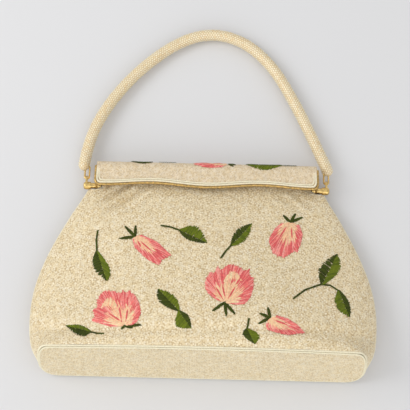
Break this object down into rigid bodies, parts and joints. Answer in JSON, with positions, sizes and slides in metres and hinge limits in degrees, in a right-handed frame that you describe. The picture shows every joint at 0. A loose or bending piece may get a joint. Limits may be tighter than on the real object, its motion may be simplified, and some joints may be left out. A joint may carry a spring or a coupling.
{
  "type": "beaded purse",
  "caption": "Beaded frame purse with a flared body, a hinged lid with a wavy gilt rim, embroidered flowers and a beaded rope handle on wire links.",
  "frame": {"origin": "middle of the bag's footprint on the table, handle left out", "axes": "X across the purse, Y from the base towards the handle, Z out of the front; the purse lies on its back on z = 0"},
  "size_m": [0.2765, 0.3057, 0.0566],
  "materials": {
    "beadwork": "satin",
    "piping": "satin",
    "board": "matte",
    "gilt": "polished",
    "rope": "satin"
  },
  "bodies": {
    "bag": {"front_panel": "beadwork", "back_panel": "beadwork", "back_fold": "beadwork", "base_panel": "beadwork", "base_piping": "piping", "base_board": "board", "front_frame": "gilt", "left_post": "gilt", "right_post": "gilt"},
    "lid": {"back_frame": "gilt", "lid_cover": "beadwork", "lid_plate": "gilt", "lid_trim": "gilt", "lid_piping": "piping"},
    "handle": {"handle_rope": "rope", "left_link": "gilt", "right_link": "gilt"}
  },
  "joints": [
    {"name": "lid_hinge", "type": "hinge", "parent": "bag", "child": "lid", "pos_m": [0, 0.06996, 0.01], "axis": [-1, 0, 0], "range_deg": [0, 75], "deforming": ["back_fold"]},
    {"name": "handle_swing", "type": "hinge", "parent": "bag", "child": "handle", "pos_m": [0, 0.07596, 0.01], "axis": [1, 0, 0], "range_deg": [-90, 110]}
  ]
}
